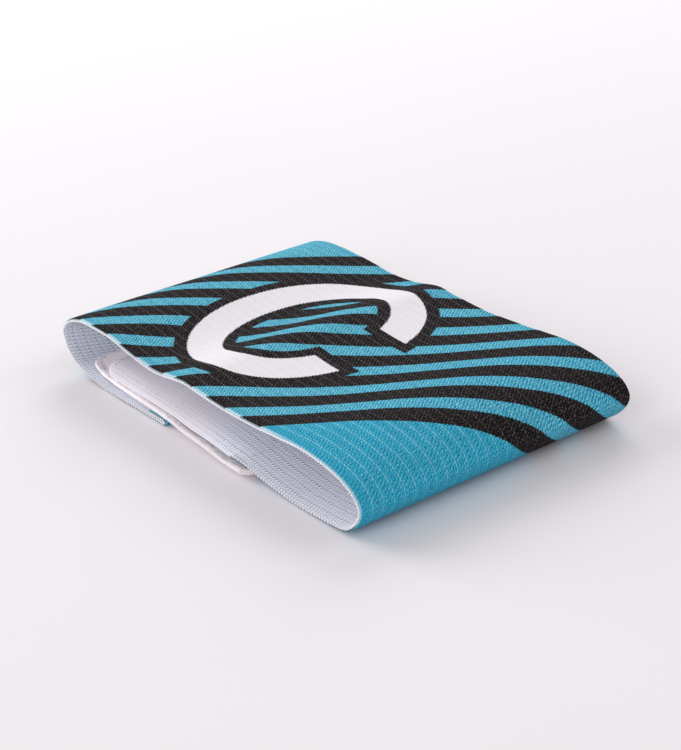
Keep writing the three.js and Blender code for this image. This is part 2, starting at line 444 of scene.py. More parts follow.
@dataclass(frozen=True)
class PrintedKnit:
    """The printed outer face of the elastic."""

    stripes: StripePrint = StripePrint()
    letter: BlockLetter = BlockLetter()
    width: float = 80.0
    cyan: Colour = paint(78, 186, 210)
    cyan_plain: Colour = paint(36, 171, 203)
    # Painted shade for the gaps between the loops.
    cyan_gap_shade: Colour = paint(16, 104, 148)
    # Painted highlight for the loop crests.
    cyan_crest_highlight: Colour = paint(172, 226, 240)
    cyan_line: Colour = paint(150, 212, 232)
    dark: Colour = paint(13, 13, 16)
    dark_loop: Colour = paint(116, 106, 106)
    dark_line: Colour = paint(136, 124, 122)
    white: Colour = paint(240, 236, 242)
    bare: Colour = paint(208, 230, 240)
    # Painted contact shadow for the rims that lie on the floor.
    rim_contact_shadow: Colour = paint(34, 72, 88)
    edge_width: float = 2.7
    serration: float = 0.5
    twill_lean: float = 0.8

    def weave(self, graph: Graph) -> Weave:
        """Draws the loops, the ribs and the woven edge.

        Args:
            graph: The material's graph.

        Returns:
            The values that the colours and the relief are made from.
        """
        flat = graph.flat()
        along, across = graph.split(flat)
        wale = (across - KNIT.first_rib) / KNIT.wale + 0.5
        column = (wale.floor() / KNIT.loops_per_rib).fraction()
        odd = (wale.floor() / 2).fraction() * 2
        loop_across = wale.fraction() - 0.5
        stray = graph.noise(0.9, 1.0, flat) - 0.5
        twill = along + across * self.twill_lean + stray * 0.9
        loop_along = (twill / KNIT.course + odd * 0.18).fraction() - 0.5
        off_rib = abs(((across - KNIT.first_rib) / KNIT.rib_pitch + 0.5).fraction() - 0.5) * KNIT.rib_pitch
        off_edge = across.least(self.width - across)
        grain = graph.noise(0.36, 2.0, flat) - 0.5
        inside = (off_edge + grain * 0.8).rise(self.edge_width - 0.9, self.edge_width)
        tooth_turns = along / KNIT.course + across * 0.46 + grain * 0.5
        return Weave(
            along=along,
            across=across,
            loop_along=loop_along,
            loop_across=loop_across,
            loop=(1 - loop_across * loop_across * 3.0 - loop_along * loop_along * 4.4).most(0),
            dash=abs(loop_along).fall(0.2, 0.42),
            middle_loop=abs(loop_across).fall(0.12, 0.46),
            middle=1 - abs(column - 0.5) * 4,
            off_edge=off_edge,
            grain=grain,
            speck=graph.noise(1.1, 3.0, flat),
            patch=graph.noise(9.0, 3.0, flat) - 0.5,
            calm=(along - across / self.stripes.rise).rise(-45, -37),
            seen=along.fall(-62, -24) * 0.5 + 0.5,
            inside=inside,
            edge=1 - inside,
            rib=off_rib.fall(0.06, 0.26) * inside,
            tooth=0.5 + 0.5 * (tooth_turns * FULL_TURN).cosine(),
        )

    def ground_colour(self, graph: Graph, weave: Weave) -> Value:
        """Colours the ground, with painted shade in the gaps between the loops, painted highlights on the
        loop crests, and pale ribs.

        Args:
            graph: The material's graph.
            weave: The values of the weave.

        Returns:
            The colour.
        """
        between = 0.55 + 0.45 * weave.middle.most(0)
        # Painted shade in the gaps between the loops and between the teeth of the woven edge, mixed with
        # grain.
        gap_shade = weave.loop.fall(0.05, 0.55) * between * weave.inside + (1 - weave.tooth) * weave.edge * 0.6
        gap_shade = gap_shade * (1 - weave.calm * 0.2) + weave.grain * 1.9
        # Painted highlight on the loop crests and on the teeth of the woven edge.
        crest_highlight = abs(weave.loop_along).fall(0.05, 0.26) * weave.inside * 0.62 + weave.tooth * weave.edge * 0.3
        crest_highlight = crest_highlight * weave.speck.rise(0.3, 0.6) * (1.2 - weave.calm * 0.75)
        crest_highlight = crest_highlight * (0.4 + 0.6 * weave.middle_loop)
        line = weave.rib * (0.36 + 0.3 * weave.dash) * weave.seen.most(weave.calm * 1.3)
        line = line * (0.4 + 0.6 * weave.speck.rise(0.36, 0.54)) * (0.4 + 0.6 * weave.along.fall(-10, 5))
        deeper = weave.calm.most(weave.along.rise(-50, -15) * 0.5)
        colour = graph.mix(deeper, self.cyan, self.cyan_plain)
        colour = graph.mix(gap_shade.most(0).least(1), colour, self.cyan_gap_shade)
        colour = graph.mix((crest_highlight - weave.grain * 1.2).most(0), colour, self.cyan_crest_highlight)
        colour = graph.mix(line, colour, self.cyan_line)
        return graph.tint(colour, 1 + weave.patch * 0.2)

    def stripe_colour(self, graph: Graph, weave: Weave) -> Value:
        """Colours the dark stripes, where light yarn shows through the print.

        Args:
            graph: The material's graph.
            weave: The values of the weave.

        Returns:
            The colour.
        """
        worn = abs(weave.loop_along).fall(0.05, 0.28) * (0.12 + weave.speck.rise(0.4, 0.58) * 0.5)
        worn = worn * weave.middle_loop + weave.grain * 1.3
        colour = graph.mix(worn.most(0), self.dark, self.dark_loop)
        return graph.mix(weave.rib * (0.12 + 0.26 * weave.dash) * weave.seen, colour, self.dark_line)

    def faded(self, graph: Graph, weave: Weave, colour: Value, ground: Value) -> Value:
        """Fades the print at the woven edges, and paints contact shadow on the rims of the runs that lie on
        the floor.

        Args:
            graph: The material's graph.
            weave: The values of the weave.
            colour: The printed colour.
            ground: 1 where the ground colour shows.

        Returns:
            The faded colour, with its painted contact shadow.
        """
        upper_left = weave.along.fall(-38, -22) * weave.along.rise(-172, -150)
        fade = weave.off_edge.fall(0.02, 0.45) * 0.5
        wide_fade = (weave.off_edge + weave.grain * 0.2).fall(0.25, 0.75) * upper_left * 0.75
        pale_ground = fade.most(wide_fade) * ground
        pale_all = weave.off_edge.fall(-0.05, 0.12) * 0.6
        pale = graph.mix(pale_ground.most(pale_all), colour, self.bare)
        # Painted contact shadow: the rims of the runs that lie on the floor are darkened to a dark teal.
        shadowed_runs = weave.along.rise(2, 7).most(weave.along.fall(-172, -160))
        return graph.mix(weave.off_edge.fall(0, 0.14) * shadowed_runs * 0.85, pale, self.rim_contact_shadow)

    def material(self) -> bpy.types.Material:
        """Builds the material.

        Returns:
            The material of the printed face.
        """
        graph = Graph("printed_knit")
        weave = self.weave(graph)
        grain = weave.grain
        moved = weave.along + weave.loop_along * self.serration + grain * 0.35
        moved_across = weave.across + weave.loop_across * 0.25 + grain * 0.25
        letter, outline = self.letter.draw(moved, moved_across)
        ground = self.stripes.cyan(moved, weave.across) * (1 - outline)
        # The white is a little brighter on the loop domes, a painted highlight.
        white = graph.tint(self.white, 0.955 + 0.04 * weave.loop - weave.rib * 0.04 + grain * 0.03)
        colour = graph.mix(ground, self.stripe_colour(graph, weave), self.ground_colour(graph, weave))
        colour = graph.mix(letter, colour, white)
        height = weave.loop * 0.55 * weave.inside + weave.rib * 0.4 + weave.tooth * weave.edge * 0.8
        return graph.finish({
            "Base Color": self.faded(graph, weave, colour, ground),
            "Roughness": 0.82 + grain * 0.12,
            "Normal": graph.bump(height * (1 - letter * 0.7), 0.00022),
            "Specular IOR Level": 0.05,
        })


@dataclass(frozen=True)
class PlainKnit:
    """The unprinted inner face of the elastic, with ribs across it, rows of raised dots, and painted shade
    in its pits and in the valleys between its courses.
    """

    base: Colour = paint(229, 231, 244)
    sewn: Colour = paint(238, 231, 236)
    # The shade and the pit colours are painted shade, for the valleys between the courses and for the pits.
    shade: Colour = paint(203, 205, 221)
    pit_shade: Colour = paint(108, 110, 134)
    dot: Colour = paint(255, 255, 255)
    behind_print: Colour = paint(176, 194, 210)
    print_from: float = -38.0
    smooth_from: float = 56.0
    smooth_to: float = 78.0
    line_pitch: float = 0.98

    def material(self) -> bpy.types.Material:
        """Builds the material.

        Returns:
            The material of the inner face.
        """
        graph = Graph("plain_knit")
        flat = graph.flat()
        along, across = graph.split(flat)
        grain = graph.noise(0.6, 2.0, flat) - 0.5
        patch = graph.noise(11.0, 2.0, flat) - 0.5
        lane = across / (KNIT.rib_pitch / 2) + grain * 0.08
        every_other = (lane.floor() / 2).fraction() * 2
        step = (along + across * 0.22 + grain * 0.12) / KNIT.course
        off_row = abs(lane.fraction() - 0.5)
        off_course = abs(step.fraction() - 0.5)
        woven = along.fall(self.smooth_from, self.smooth_to)
        clear = 0.16 + 0.84 * woven
        strength = (0.5 + 0.5 * every_other) * clear
        dots = off_row.fall(0.16, 0.3) * off_course.fall(0.2, 0.34) * strength
        # Painted shade in the pits between the dots.
        pit_shade_mask = off_row.fall(0.14, 0.34) * off_course.rise(0.32, 0.42) * strength
        lines = (across / self.line_pitch * FULL_TURN).cosine() * 0.5 + 0.5
        # Painted shade in the valleys between the courses, and darker lengthwise lines where the end is
        # sewn.
        shade = off_course * woven * 0.5 + (1 - woven) * lines * 0.2
        base = graph.mix(woven, self.sewn, self.base)
        colour = graph.mix((shade + grain * 0.2).most(0), base, self.shade)
        colour = graph.mix(pit_shade_mask * 0.8, colour, self.pit_shade)
        colour = graph.mix(dots, colour, self.dot)
        behind = along.fall(self.print_from - 4, self.print_from) * 0.18
        colour = graph.mix(behind, colour, self.behind_print)
        colour = graph.tint(colour, 1.0 + patch * 0.06)
        height = (0.5 - off_course) * 0.5 * woven + lines * (1 - woven) * 0.14 + dots * 0.6 + grain * 0.1
        return graph.finish({
            "Base Color": colour,
            "Roughness": 0.82 + grain * 0.1,
            "Normal": graph.bump(height, 0.0002),
            "Specular IOR Level": 0.2,
            "Sheen Weight": 0.1,
            "Sheen Roughness": 0.4,
        })


@dataclass(frozen=True)
class Yarn:
    """Yarn of the selvedge, the cut edges and the stitches; the grey of the cut edges is painted shade."""

    name: str
    colour: Colour
    twist: float

    def material(self) -> bpy.types.Material:
        """Builds the material.

        Returns:
            The material of the yarn.
        """
        graph = Graph(self.name)
        fibre = graph.noise(self.twist, 3.0)
        colour = graph.tint(self.colour, 0.9 + fibre * 0.2)
        return graph.finish({
            "Base Color": colour,
            "Roughness": 0.7 + fibre * 0.15,
            "Normal": graph.bump(fibre, 0.00008),
            "Specular IOR Level": 0.3,
            "Sheen Weight": 0.2,
        })


@dataclass(frozen=True)
class Pile:
    """The soft brushed loops of the pile tape."""

    pale: Colour = paint(255, 246, 250)
    # Painted shade for the hollows of the pile.
    hollow_shade: Colour = paint(242, 230, 235)

    def material(self) -> bpy.types.Material:
        """Builds the material.

        Returns:
            The material of the pile.
        """
        graph = Graph("pile")
        curl = graph.noise(0.0007, 4.0)
        clump = graph.noise(0.0032, 3.0)
        depth = curl * 0.6 + clump * 0.4
        across = graph.split(graph.flat())[1]
        # Painted shade in the hollows of the pile, where its relief is lowest.
        colour = graph.mix(depth.fall(0.3, 0.56), self.pale, self.hollow_shade)
        # Painted shade: the tape is darkened by up to a fifth along its near margin, past the web's near
        # edge.
        colour = graph.tint(colour, 0.8 + 0.2 * across.rise(-1.0, 1.6))
        return graph.finish({
            "Base Color": colour,
            "Roughness": 0.88 + curl * 0.1,
            "Normal": graph.bump(depth, 0.00012),
            "Specular IOR Level": 0.12,
            "Sheen Weight": 0.8,
            "Sheen Roughness": 0.5,
        })


@dataclass(frozen=True)
class Nylon:
    """The woven ground and the hooks of the hook tape."""

    colour: Colour = paint(214, 210, 216)
    weave: float = 0.0006

    def material(self) -> bpy.types.Material:
        """Builds the material.

        Returns:
            The material of the hook tape.
        """
        graph = Graph("hook_nylon")
        along, across = graph.split(graph.object_place())
        turn = FULL_TURN / self.weave
        weave = (along * turn).cosine() * (across * turn).cosine()
        colour = graph.tint(self.colour, 0.94 + weave * 0.06)
        return graph.finish({
            "Base Color": colour,
            "Roughness": 0.42 + graph.noise(0.002) * 0.2,
            "Normal": graph.bump(weave * 0.5 + 0.5, 0.0001),
            "Specular IOR Level": 0.45,
        })


@dataclass(frozen=True)
class PaleFloor:
    """The plain pale surface that the armband lies on."""

    colour: Colour = paint(239, 235, 238)

    def material(self) -> bpy.types.Material:
        """Builds the material.

        Returns:
            The material of the floor.
        """
        graph = Graph("pale_floor")
        cloud = graph.noise(0.09, 2.0)
        return graph.finish({
            "Base Color": graph.tint(self.colour, 0.99 + cloud * 0.02),
            "Roughness": 0.75,
            "Specular IOR Level": 0.2,
        })


# Side view of the elastic


@dataclass(frozen=True)
class Bend:
    """One bend of the side view, as shares of the loop's length and height."""

    along: float
    near: float
    middle: float
    far: float


@dataclass(frozen=True)
class Climb:
    """One step of the inner end's way up onto the closure, as shares of that way."""

    back: float
    lift: float


LEFT_FOLD = (
    Bend(along=0.203, near=0, middle=0, far=0),
    Bend(along=0.158, near=0, middle=0, far=0),
    Bend(along=0.112, near=0.04, middle=0.04, far=0.04),
    Bend(along=0.073, near=0.1, middle=0.1, far=0.1),
    Bend(along=0.043, near=0.162, middle=0.162, far=0.162),
    Bend(along=0.027, near=0.235, middle=0.235, far=0.235),
    Bend(along=0.011, near=0.355, middle=0.35, far=0.345),
    Bend(along=0.002, near=0.5, middle=0.49, far=0.48),
    Bend(along=0, near=0.635, middle=0.63, far=0.61),
    Bend(along=0.014, near=0.776, middle=0.765, far=0.74),
    Bend(along=0.04, near=0.887, middle=0.88, far=0.855),
)

UPPER_RUN = (
    Bend(along=0.09, near=0.985, middle=0.968, far=0.945),
    Bend(along=0.147, near=1, middle=0.968, far=0.962),
    Bend(along=0.207, near=0.985, middle=0.933, far=0.939),
    Bend(along=0.263, near=0.91, middle=0.863, far=0.9),
    Bend(along=0.328, near=0.84, middle=0.817, far=0.846),
    Bend(along=0.385, near=0.835, middle=0.858, far=0.855),
    Bend(along=0.43, near=0.878, middle=0.945, far=0.905),
    Bend(along=0.472, near=0.913, middle=0.985, far=0.951),
    Bend(along=0.521, near=0.887, middle=0.933, far=0.913),
    Bend(along=0.612, near=0.852, middle=0.852, far=0.858),
    Bend(along=0.703, near=0.86, middle=0.846, far=0.858),
    Bend(along=0.778, near=0.892, middle=0.892, far=0.884),
    Bend(along=0.843, near=0.916, middle=0.927, far=0.905),
    Bend(along=0.896, near=0.881, middle=0.904, far=0.87),
)

RIGHT_FOLD = (
    Bend(along=0.93, near=0.837, middle=0.852, far=0.817),
    Bend(along=0.964, near=0.75, middle=0.765, far=0.73),
    Bend(along=0.989, near=0.625, middle=0.625, far=0.608),
    Bend(along=1, near=0.48, middle=0.48, far=0.468),
    Bend(along=0.994, near=0.323, middle=0.323, far=0.323),
    Bend(along=0.974, near=0.154, middle=0.154, far=0.154),
    Bend(along=0.952, near=0.058, middle=0.058, far=0.058),
    Bend(along=0.915, near=0.023, middle=0.023, far=0.023),
    Bend(along=0.876, near=0.008, middle=0.008, far=0.008),
    Bend(along=0.842, near=0, middle=0, far=0),
    Bend(along=0.804, near=0, middle=0, far=0),
)

CLIMB = (
    Climb(back=0.1, lift=0.13),
    Climb(back=0.21, lift=0.29),
    Climb(back=0.33, lift=0.54),
    Climb(back=0.46, lift=0.77),
    Climb(back=0.6, lift=0.93),
    Climb(back=0.75, lift=0.99),
    Climb(back=0.89, lift=1),
    Climb(back=1, lift=1),
)


def smooth_line(points: np.ndarray, steps: int) -> np.ndarray:
    """Draws a smooth line through control points, a centripetal Catmull-Rom curve.

    Args:
        points: Control points, one row each.
        steps: Number of steps between two of them.

    Returns:
        The points of the line.
    """
    ends = (2 * points[0] - points[1], 2 * points[-1] - points[-2])
    knots = np.vstack([ends[0], points, ends[1]])
    gaps = np.sqrt(np.linalg.norm(np.diff(knots, axis=0), axis=1))[:, None]
    before, start, stop, after = knots[:-3], knots[1:-2], knots[2:-1], knots[3:]
    first, middle, last = gaps[:-2], gaps[1:-1], gaps[2:]
    leave = (start - before) / first - (stop - before) / (first + middle) + (stop - start) / middle
    reach = (stop - start) / middle - (after - start) / (middle + last) + (after - stop) / last
    leave = leave * middle
    reach = reach * middle
    share = (np.arange(steps) / steps)[None, :, None]
    curve = start[:, None] + leave[:, None] * share
    curve = curve + (3 * (stop - start) - 2 * leave - reach)[:, None] * share ** 2
    curve = curve + (2 * (start - stop) + leave + reach)[:, None] * share ** 3
    return np.vstack([curve.reshape(-1, points.shape[1]), points[-1:]])


def lengths_along(line: np.ndarray) -> np.ndarray:
    """Gives the distance of each point of a line from its start."""
    steps = np.linalg.norm(np.diff(line, axis=0), axis=1)
    return np.concatenate([[0.0], np.cumsum(steps)])


def left_normals(line: np.ndarray) -> np.ndarray:
    """Gives the unit normals of a side view.

    Args:
        line: Places and heights along it.

    Returns:
        The normals, to the left of its course.
    """
    course = np.gradient(line, axis=0)
    course = course / np.linalg.norm(course, axis=1, keepdims=True)
    return np.stack([-course[:, 1], course[:, 0]], axis=1)


def unit(vectors: np.ndarray) -> np.ndarray:
    """Brings vectors to a length of 1."""
    return vectors / np.linalg.norm(vectors, axis=-1, keepdims=True)


def soft_step(value: np.ndarray) -> np.ndarray:
    """A smooth step from 0 at 0 to 1 at 1."""
    held = np.clip(value, 0, 1)
    return held * held * (3 - 2 * held)


@dataclass
class ArmbandShape:
    """The lie of the whole armband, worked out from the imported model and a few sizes."""

    wall: float = 1.0 * MM
    width: float = 80.0 * MM
    clearance: float = 0.3 * MM
    tape: float = 1.0 * MM
    tail_length: float = 30.0 * MM
    hem_length: float = 8.0 * MM
    end_inset: float = 2.2 * MM
    end_drift: float = 2.8 * MM
    end_corner: float = 6.0 * MM
    tape_past_edge: float = 1.6 * MM
    sag_width: float = 6.5 * MM
    sag_depth: float = 1.1 * MM
    sag_start: float = 24.0 * MM
    curve_steps: int = 12
    left: float = field(init=False)
    length: float = field(init=False)
    height: float = field(init=False)
    near: float = field(init=False)

    def __post_init__(self) -> None:
        """Takes the loop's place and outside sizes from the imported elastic."""
        low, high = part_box("band")
        self.left = low.x
        self.length = high.x - low.x
        self.height = high.z - low.z
        self.near = low.y

    @property
    def floor_line(self) -> float:
        """Height of the wall's middle where it lies on the floor."""
        return self.wall / 2

    @property
    def hem_line(self) -> float:
        """Height of the wall's middle in the turned hem."""
        return self.floor_line + self.wall + self.clearance

    @property
    def hook_bottom(self) -> float:
        """Height of the hook tape's underside."""
        return self.wall + self.clearance

    @property
    def pile_line(self) -> float:
        """Height of the pile tape's middle on the closure."""
        top = max(self.hem_line + self.wall / 2, self.hook_bottom + self.tape)
        return top + self.clearance + self.tape / 2

    @property
    def end_line(self) -> float:
        """Height of the wall's middle in the inner end."""
        return self.pile_line + self.tape / 2 + self.clearance + self.wall / 2

    @property
    def pile_to_web(self) -> float:
        """Distance between the middles of the elastic and of a tape on it."""
        return self.wall / 2 + self.clearance + self.tape / 2

    def place(self, along: float) -> float:
        """Turns a share of the loop's length into a place on X."""
        return self.left + self.wall / 2 + along * (self.length - self.wall)

    def lift(self, share: float) -> float:
        """Turns a share of the loop's height into a height."""
        return self.floor_line + share * (self.height - self.wall)

    @property
    def tail_start(self) -> float:
        """Place where the left fold meets the flat outer end."""
        return self.place(LEFT_FOLD[1].along)

    @property
    def tail_tip(self) -> float:
        """Place of the outer end's tip."""
        return self.tail_start + self.tail_length

    @property
    def rest_place(self) -> float:
        """Place where the inner end leaves the floor."""
        return self.place(RIGHT_FOLD[-1].along)

    def bends(self, edge: Edge) -> np.ndarray:
        """Draws the folds and the upper run.

        Args:
            edge: The line of the web.

        Returns:
            Places and heights of the wall's middle.
        """
        rows = LEFT_FOLD + UPPER_RUN + RIGHT_FOLD
        points = [(self.place(row.along), self.lift(getattr(row, edge.value))) for row in rows]
        line = smooth_line(np.array(points), self.curve_steps)
        line[:, 1] = np.maximum(line[:, 1], self.floor_line)
        return line

    def climb(self) -> np.ndarray:
        """Draws the inner end's way up onto the closure.

        Returns:
            Places and heights of the wall's middle.
        """
        reach = self.tail_tip - self.rest_place
        rise = self.end_line - self.floor_line
        points = [(self.rest_place + row.back * reach, self.floor_line + row.lift * rise) for row in CLIMB]
        return smooth_line(np.array(points), self.curve_steps)

    def on_left_fold(self) -> np.ndarray:
        """Draws the inside of the left fold where the pile tape lies on it.

        Returns:
            Places and heights of the tape's middle, going up the fold.
        """
        line = self.bends(Edge.NEAR)
        inside = (line - left_normals(line) * self.pile_to_web)[: (len(LEFT_FOLD) - 1) * self.curve_steps]
        return inside[inside[:, 1] > self.pile_line]

    @property
    def end_place(self) -> float:
        """Place of the inner end's edge."""
        return float(self.on_left_fold()[0, 0]) + self.end_inset

    def hem(self) -> np.ndarray:
        """Draws the turned hem, from its free edge round the tip and down to the floor.

        Returns:
            Places and heights of the wall's middle.
        """
        radius = (self.hem_line - self.floor_line) / 2
        centre = self.tail_tip - self.wall / 2 - radius
        angles = np.linspace(math.pi / 2, -math.pi / 2, 25)
        turn = np.stack([np.cos(angles), np.sin(angles)], axis=1) * radius
        turn = turn + np.array([centre, self.floor_line + radius])
        flat = np.linspace(self.tail_tip - self.hem_length, centre, 12)[:-1]
        top = np.stack([flat, np.full(len(flat), self.hem_line)], axis=1)
        return np.vstack([top, turn])

    def drift(self, place: np.ndarray) -> np.ndarray:
        """Gives the inner end's slide towards the far side at places on X."""
        share = (self.rest_place - place) / (self.rest_place - self.end_place)
        return self.end_drift * np.maximum(share, 0) ** 2

    def sag(self, place: np.ndarray, y: np.ndarray) -> np.ndarray:
        """Gives how far the near margin of the closure droops onto the outer end.

        Args:
            place: Places on X.
            y: Places on Y.

        Returns:
            The droop.
        """
        margin = self.near + self.drift(place) - self.tape_past_edge
        across = soft_step(1 - (y - margin) / self.sag_width)
        starts = soft_step((self.sag_start - place) / (12 * MM))
        ends = soft_step((place - self.end_place + 3 * MM) / (5 * MM))
        over_hem = soft_step((place - self.tail_tip + 24 * MM) / (16 * MM))
        over_hem = over_hem * soft_step((self.tail_tip + 13 * MM - place) / (12 * MM))
        return self.sag_depth * across * starts * ends * (1 - 0.6 * over_hem)


def corner_inset(distance: np.ndarray, radius: float) -> np.ndarray:
    """Gives how far a rounded corner draws the edge in, at distances from the end."""
    reach = np.clip(radius - distance, 0, radius)
    return radius - np.sqrt(np.maximum(radius ** 2 - reach ** 2, 0))


# Cloth walls


@dataclass
class ClothFace:
    """One face of a cloth, a grid that is read at any place on the flat cloth."""

    points: np.ndarray
    along: np.ndarray
    across: np.ndarray
    outward: float

    def read(self, along: np.ndarray, across: np.ndarray) -> tuple[np.ndarray, np.ndarray]:
        """Reads the face.

        Args:
            along: Distances along the cloth.
            across: Distances across it.

        Returns:
            The points there, and the unit axes along the cloth, across it and out of it.
        """
        station = np.interp(along, self.along, np.arange(len(self.along)))
        column = np.interp(across, self.across, np.arange(len(self.across)))
        row = np.minimum(station.astype(int), len(self.along) - 2)
        side = np.minimum(column.astype(int), len(self.across) - 2)
        down = (station - row)[:, None]
        over = (column - side)[:, None]
        a, b = self.points[row, side], self.points[row + 1, side]
        c, d = self.points[row, side + 1], self.points[row + 1, side + 1]
        place = a * (1 - down) * (1 - over) + b * down * (1 - over) + c * (1 - down) * over + d * down * over
        course = unit((b - a) * (1 - over) + (d - c) * over)
        width = unit((c - a) * (1 - down) + (d - b) * down)
        out = unit(np.cross(course, width)) * self.outward
        return place, np.stack([course, width, out], axis=1)


@dataclass(frozen=True)
class Seam:
    """A straight row of stitches between two places on the flat cloth."""

    start: tuple[float, float]
    stop: tuple[float, float]
    pitch: float = 2.5 * MM
    length: float = 1.9 * MM
    thick: float = 0.28 * MM

    def stitches(self, face: ClothFace) -> tuple[np.ndarray, np.ndarray]:
        """Lays the stitches on a face.

        Args:
            face: The face of the cloth.

        Returns:
            Middle and scaled axes of each stitch.
        """
        start = np.array(self.start)
        way = np.array(self.stop) - start
        reach = float(np.linalg.norm(way))
        count = max(int(reach / self.pitch), 1)
        share = (np.arange(count) + 0.5) / count
        at = start + way * share[:, None]
        places, axes = face.read(at[:, 0], at[:, 1])
        heading = way / reach
        forth = axes[:, 0] * heading[0] + axes[:, 1] * heading[1]
        beside = axes[:, 0] * -heading[1] + axes[:, 1] * heading[0]
        half = self.thick / 2
        frames = np.stack([forth * self.length / 2, beside * half, axes[:, 2] * half], axis=1)
        return places, frames


def sew(name: str, face: ClothFace, seams: list[Seam], thread: bpy.types.Material) -> bpy.types.Object:
    """Sews rows of stitches into a face.

    Args:
        name: Name of the stitches' object.
        face: The face of the cloth.
        seams: The rows.
        thread: The material of the thread.

    Returns:
        The object.
    """
    rows = [seam.stitches(face) for seam in seams]
    places = np.vstack([row[0] for row in rows])
    frames = np.vstack([row[1] for row in rows])
    return repeated(name, ball(6, 6), places, frames, thread)


@dataclass
class ClothWall:
    """A wall of cloth as two grids of points, stations by columns, and its flat places."""

    outer: np.ndarray
    inner: np.ndarray
    flat: np.ndarray
    bulge: float
    outer_share: float = 0.42
    soft_rim: Union[np.ndarray, None] = None

    def _around(self, stations: int, columns: int) -> np.ndarray:
        """Lists the grid points around the wall's edge.

        Args:
            stations: Number of stations.
            columns: Number of columns.

        Returns:
            Their numbers in one grid, once round.
        """
        number = np.arange(stations * columns).reshape(stations, columns)
        return np.concatenate([number[:-1, 0], number[-1, :-1], number[:0:-1, -1], number[0, :0:-1]])

    def _inward(self) -> np.ndarray:
        """Gives the unit directions from the edge into the cloth, once round."""
        hub = (self.outer + self.inner) / 2
        return unit(np.concatenate([
            hub[:-1, 1] - hub[:-1, 0],
            hub[-2, :-1] - hub[-1, :-1],
            hub[:0:-1, -2] - hub[:0:-1, -1],
            hub[1, :0:-1] - hub[0, :0:-1],
        ]))

    def build(self, name: str, finishes: list[bpy.types.Material]) -> bpy.types.Object:
        """Builds the closed mesh.

        Args:
            name: Name of the object.
            finishes: Materials of the outer face, the inner face and the edge.

        Returns:
            The object.
        """
        stations, columns = self.outer.shape[:2]
        count = stations * columns
        outer = self.outer.reshape(-1, 3)
        inner = self.inner.reshape(-1, 3)
        around = self._around(stations, columns)
        rims = len(around)
        swell = self._inward() * self.bulge
        high = outer[around] + (inner[around] - outer[around]) * self.outer_share - swell * 0.8
        low = outer[around] + (inner[around] - outer[around]) * (1 + self.outer_share) / 2 - swell
        points = np.vstack([outer, inner, high, low])

        number = np.arange(count).reshape(stations, columns)
        a, b, c, d = number[:-1, :-1], number[1:, :-1], number[1:, 1:], number[:-1, 1:]
        top = np.stack([a, b, c, d], axis=-1).reshape(-1, 4)
        under = np.stack([a, d, c, b], axis=-1).reshape(-1, 4) + count
        levels = [around, 2 * count + np.arange(rims), 2 * count + rims + np.arange(rims), around + count]
        strips = [
            np.stack([upper, lower, np.roll(lower, -1), np.roll(upper, -1)], axis=1)
            for upper, lower in zip(levels[:-1], levels[1:])
        ]
        faces = np.vstack([top, under, *strips])
        flat = self.flat.reshape(-1, 2)
        flat = np.vstack([flat, flat, flat[around], flat[around]])
        rim_kind = np.full(rims, Face.RIM.value)
        outer_kind = np.full(rims, Face.OUTER.value)
        if self.soft_rim is not None:
            soft = self.soft_rim[around // columns]
            rim_kind[soft] = Face.INNER.value
            outer_kind[soft] = Face.INNER.value
        sides = np.repeat([Face.OUTER.value, Face.INNER.value], [len(top), len(under)])
        kinds = np.concatenate([sides, outer_kind, rim_kind, rim_kind])
        return mesh_object(name, points, faces, finishes, kinds, flat)


def mesh_object(
    name: str,
    points: np.ndarray,
    faces: np.ndarray,
    finishes: list[bpy.types.Material],
    kinds: Union[np.ndarray, None] = None,
    flat: Union[np.ndarray, None] = None,
) -> bpy.types.Object:
    """Makes a smooth mesh object.

    Args:
        name: Name of the object.
        points: Its points.
        faces: Its faces, a row of point numbers each.
        finishes: Its materials.
        kinds: The material of each face, or None for the first.
        flat: Places of the points on the flat cloth, or None.

    Returns:
        The object, in the scene.
    """
    mesh = bpy.data.meshes.new(name)
    mesh.from_pydata(points.tolist(), [], faces.tolist())
    for finish in finishes:
        mesh.materials.append(finish)
    if kinds is not None:
        mesh.polygons.foreach_set("material_index", kinds.astype(np.int32))
    if flat is not None:
        layer = mesh.uv_layers.new(name=CLOTH_MAP)
        corners = np.empty(len(mesh.loops), np.int32)
        mesh.loops.foreach_get("vertex_index", corners)
        layer.uv.foreach_set("vector", flat[corners].astype(np.float32).ravel())
    mesh.polygons.foreach_set("use_smooth", np.ones(len(mesh.polygons), bool))
    mesh.update()
    made = bpy.data.objects.new(name, mesh)
    bpy.context.scene.collection.objects.link(made)
    return made


def add_piece(piece: bpy.types.Object) -> bpy.types.Object:
    """Puts a piece on the armband's body.

    Args:
        piece: The piece.

    Returns:
        The piece.
    """
    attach(piece, BODY)
    log.info("%s: %d faces", piece.name, len(piece.data.polygons))
    return piece


def repeated(
    name: str,
    pattern: tuple[np.ndarray, np.ndarray],
    places: np.ndarray,
    frames: np.ndarray,
    finish: bpy.types.Material,
) -> bpy.types.Object:
    """Makes one mesh of many small copies of a pattern.

    Args:
        name: Name of the object.
        pattern: Points and faces of one copy.
        places: Middle of each copy.
        frames: Three axes of each copy, whose lengths scale it.
        finish: The material.

    Returns:
        The object.
    """
    points, faces = pattern
    moved = np.einsum("pk,nkj->npj", points, frames) + places[:, None]
    shift = np.arange(len(places))[:, None, None] * len(points)
    joined = (faces[None] + shift).reshape(-1, faces.shape[1])
    return mesh_object(name, moved.reshape(-1, 3), joined, [finish])


